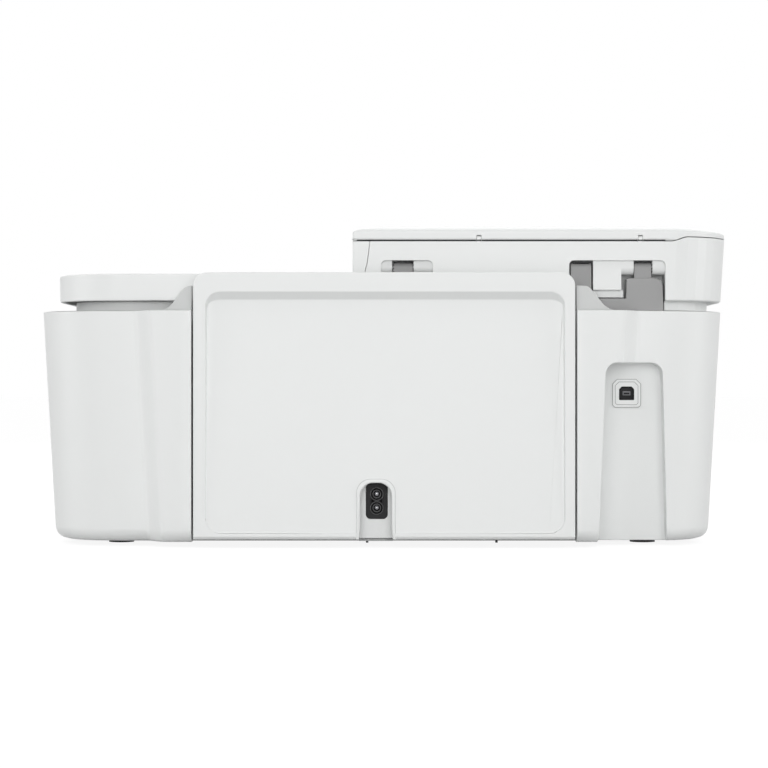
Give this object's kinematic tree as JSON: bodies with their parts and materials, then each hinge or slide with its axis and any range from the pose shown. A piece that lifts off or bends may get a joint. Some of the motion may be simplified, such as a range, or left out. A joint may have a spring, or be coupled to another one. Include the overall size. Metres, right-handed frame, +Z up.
{
  "type": "inkjet printer",
  "caption": "All-in-one inkjet printer with a lifting flatbed scanner, rear paper tray that rises and leans back, output tray, control panel and working print mechanism.",
  "frame": {"origin": "middle of the footprint on the floor", "axes": "+X to the right seen from the front, +Y to the rear, +Z up"},
  "size_m": [0.4331, 0.332, 0.2001],
  "materials": {
    "dark_plastic": "dark moulding",
    "roller_rubber": "matt rubber",
    "casing": "light satin moulding",
    "black_gloss": "black gloss",
    "contact_metal": "plated contact",
    "steel": "zinc plated sheet and ground shaft",
    "grey_trim": "light grey satin moulding",
    "hinge_grey": "mid grey moulding",
    "key_grey": "satin key",
    "key_red": "red key",
    "key_green": "green key",
    "board_green": "coated circuit board",
    "ink_black": "black cartridge shell",
    "ink_color": "blue cartridge shell",
    "gear_white": "natural acetal",
    "flat_glass": "clear flat glass",
    "foam": "white foam sheet"
  },
  "bodies": {
    "base": {"bottom_pan": "dark_plastic", "feet": "roller_rubber", "left_side_cover": "casing", "right_side_cover": "casing", "front_cover": "casing", "rear_inner_cover": "casing", "inlet_socket": "black_gloss", "inlet_pins": "contact_metal", "port_bezel": "casing", "data_port": "steel", "top_frame": "grey_trim", "hinge_posts": "hinge_grey", "hinge_pins": "steel", "deck_cover": "casing", "control_bezel": "black_gloss", "display_window": "black_gloss", "power_supply": "dark_plastic", "main_board": "board_green", "chassis": "steel", "carriage_rod": "steel", "drive_belt": "roller_rubber", "drive_motors": "steel", "platen": "dark_plastic", "feed_ramp": "dark_plastic", "service_station": "dark_plastic"},
    "scanner_unit": {"scanner_housing": "casing", "scanner_bezel": "casing", "scanner_glass": "flat_glass", "scan_rod": "steel"},
    "scanner_lid": {"lid": "casing", "lid_pad": "foam"},
    "scan_bar": {"scan_bar": "dark_plastic"},
    "tray_carrier": {"tray_carrier": "grey_trim"},
    "tray_panel": {"tray_panel": "casing"},
    "guide_left": {"guide_left": "grey_trim"},
    "guide_right": {"guide_right": "grey_trim"},
    "output_tray": {"output_tray": "dark_plastic"},
    "tray_extension": {"tray_extension": "dark_plastic"},
    "stop_flap": {"stop_flap": "dark_plastic"},
    "carriage": {"carriage": "dark_plastic", "black_cartridge": "ink_black", "color_cartridge": "ink_color"},
    "motor_pulley": {"motor_pulley": "dark_plastic"},
    "idler_pulley": {"idler_pulley": "dark_plastic"},
    "feed_roller": {"feed_roller": "steel"},
    "exit_roller": {"exit_roller": "roller_rubber"},
    "pick_roller": {"pick_roller": "roller_rubber"},
    "pinch_rollers": {"pinch_rollers": "dark_plastic"},
    "star_wheels": {"star_wheels": "gear_white"},
    "exit_idler": {"exit_idler": "gear_white"},
    "pick_idler": {"pick_idler": "gear_white"},
    "motor_pinion": {"motor_pinion": "contact_metal"},
    "cap_sled": {"cap_sled": "roller_rubber"},
    "button_power": {"button_power": "key_grey"},
    "button_menu": {"button_menu": "key_grey"},
    "button_minus": {"button_minus": "key_grey"},
    "button_plus": {"button_plus": "key_grey"},
    "button_ok": {"button_ok": "key_grey"},
    "button_stop": {"button_stop": "key_red"},
    "button_start": {"button_start": "key_green"}
  },
  "joints": [
    {"name": "scanner_lift", "type": "hinge", "parent": "base", "child": "scanner_unit", "pos_m": [0, 0.142, 0.1726], "axis": [-1, 0, 0], "range_deg": [0, 45]},
    {"name": "lid_hinge", "type": "hinge", "parent": "scanner_unit", "child": "scanner_lid", "pos_m": [0, 0.1473, 0.1907], "axis": [-1, 0, 0], "range_deg": [0, 75]},
    {"name": "scan_travel", "type": "slide", "parent": "scanner_unit", "child": "scan_bar", "axis": [0, -1, 0], "range_m": [0, 0.255]},
    {"name": "tray_lift", "type": "slide", "parent": "base", "child": "tray_carrier", "axis": [0, 0, 1], "range_m": [0, 0.095]},
    {"name": "tray_lean", "type": "hinge", "parent": "tray_carrier", "child": "tray_panel", "pos_m": [0, 0.1555, 0.015], "axis": [-1, 0, 0], "range_deg": [0, 24]},
    {"name": "guide_left_slide", "type": "slide", "parent": "tray_panel", "child": "guide_left", "axis": [1, 0, 0], "range_m": [0, 0.055]},
    {"name": "guide_right_slide", "type": "slide", "parent": "tray_panel", "child": "guide_right", "axis": [1, 0, 0], "range_m": [-0.055, 0]},
    {"name": "out_tray_slide", "type": "slide", "parent": "base", "child": "output_tray", "axis": [0, -1, 0], "range_m": [0, 0.12]},
    {"name": "extension_slide", "type": "slide", "parent": "output_tray", "child": "tray_extension", "axis": [0, -1, 0], "range_m": [0, 0.08]},
    {"name": "stop_flap_hinge", "type": "hinge", "parent": "output_tray", "child": "stop_flap", "pos_m": [0, -0.156, 0.0409], "axis": [1, 0, 0], "range_deg": [0, 90]},
    {"name": "carriage_travel", "type": "slide", "parent": "base", "child": "carriage", "axis": [-1, 0, 0], "range_m": [0, 0.285]},
    {"name": "motor_pulley_spin", "type": "hinge", "parent": "base", "child": "motor_pulley", "pos_m": [0.182, 0.0395, 0.093], "axis": [0, -1, 0], "range_deg": [0, 2340]},
    {"name": "idler_pulley_spin", "type": "hinge", "parent": "base", "child": "idler_pulley", "pos_m": [-0.182, 0.0395, 0.093], "axis": [0, -1, 0], "range_deg": [0, 2340]},
    {"name": "feed_spin", "type": "hinge", "parent": "base", "child": "feed_roller", "pos_m": [0, 0.05, 0.062], "axis": [1, 0, 0], "continuous": true},
    {"name": "exit_spin", "type": "hinge", "parent": "base", "child": "exit_roller", "pos_m": [0, -0.062, 0.062], "axis": [1, 0, 0], "continuous": true},
    {"name": "pick_spin", "type": "hinge", "parent": "base", "child": "pick_roller", "pos_m": [0, 0.11652, 0.0935], "axis": [1, 0, 0], "continuous": true},
    {"name": "exit_idler_spin", "type": "hinge", "parent": "base", "child": "exit_idler", "pos_m": [0, -0.006, 0.062], "axis": [1, 0, 0], "continuous": true},
    {"name": "pick_idler_spin", "type": "hinge", "parent": "base", "child": "pick_idler", "pos_m": [0, 0.08254, 0.07741], "axis": [1, 0, 0], "continuous": true},
    {"name": "pinion_spin", "type": "hinge", "parent": "base", "child": "motor_pinion", "pos_m": [0, 0.05, 0.036], "axis": [1, 0, 0], "continuous": true},
    {"name": "pinch_spin", "type": "hinge", "parent": "base", "child": "pinch_rollers", "pos_m": [0, 0.05, 0.07215], "axis": [1, 0, 0], "continuous": true},
    {"name": "star_spin", "type": "hinge", "parent": "base", "child": "star_wheels", "pos_m": [0, -0.062, 0.07315], "axis": [1, 0, 0], "continuous": true},
    {"name": "cap_drop", "type": "slide", "parent": "base", "child": "cap_sled", "axis": [0, 0, -1], "range_m": [0, 0.004]},
    {"name": "button_power_press", "type": "slide", "parent": "base", "child": "button_power", "axis": [0, 0.1149, -0.9934], "range_m": [0, 0.0008], "stiffness_N_per_m": 300, "springref_m": -0.0005},
    {"name": "button_menu_press", "type": "slide", "parent": "base", "child": "button_menu", "axis": [0, 0.1149, -0.9934], "range_m": [0, 0.0008], "stiffness_N_per_m": 300, "springref_m": -0.0005},
    {"name": "button_minus_press", "type": "slide", "parent": "base", "child": "button_minus", "axis": [0, 0.1149, -0.9934], "range_m": [0, 0.0008], "stiffness_N_per_m": 300, "springref_m": -0.0005},
    {"name": "button_plus_press", "type": "slide", "parent": "base", "child": "button_plus", "axis": [0, 0.1149, -0.9934], "range_m": [0, 0.0008], "stiffness_N_per_m": 300, "springref_m": -0.0005},
    {"name": "button_ok_press", "type": "slide", "parent": "base", "child": "button_ok", "axis": [0, 0.1149, -0.9934], "range_m": [0, 0.0008], "stiffness_N_per_m": 300, "springref_m": -0.0005},
    {"name": "button_stop_press", "type": "slide", "parent": "base", "child": "button_stop", "axis": [0, 0.1149, -0.9934], "range_m": [0, 0.0008], "stiffness_N_per_m": 300, "springref_m": -0.0005},
    {"name": "button_start_press", "type": "slide", "parent": "base", "child": "button_start", "axis": [0, 0.1149, -0.9934], "range_m": [0, 0.0008], "stiffness_N_per_m": 300, "springref_m": -0.0005}
  ],
  "couplings": [
    {"joint": "tray_lean", "follows": "tray_lift", "rad_per_m": 4.4},
    {"joint": "guide_right_slide", "follows": "guide_left_slide", "ratio": -1},
    {"joint": "motor_pulley_spin", "follows": "carriage_travel", "rad_per_m": 142.86},
    {"joint": "idler_pulley_spin", "follows": "carriage_travel", "rad_per_m": 142.86},
    {"joint": "exit_spin", "follows": "feed_spin", "ratio": 1},
    {"joint": "exit_idler_spin", "follows": "feed_spin", "ratio": -0.55556},
    {"joint": "pick_idler_spin", "follows": "feed_spin", "ratio": -1.25},
    {"joint": "pick_spin", "follows": "feed_spin", "ratio": 0.92593},
    {"joint": "pinion_spin", "follows": "feed_spin", "ratio": -3.3333},
    {"joint": "pinch_spin", "follows": "feed_spin", "ratio": -1.5},
    {"joint": "star_spin", "follows": "feed_spin", "ratio": -1.2}
  ]
}
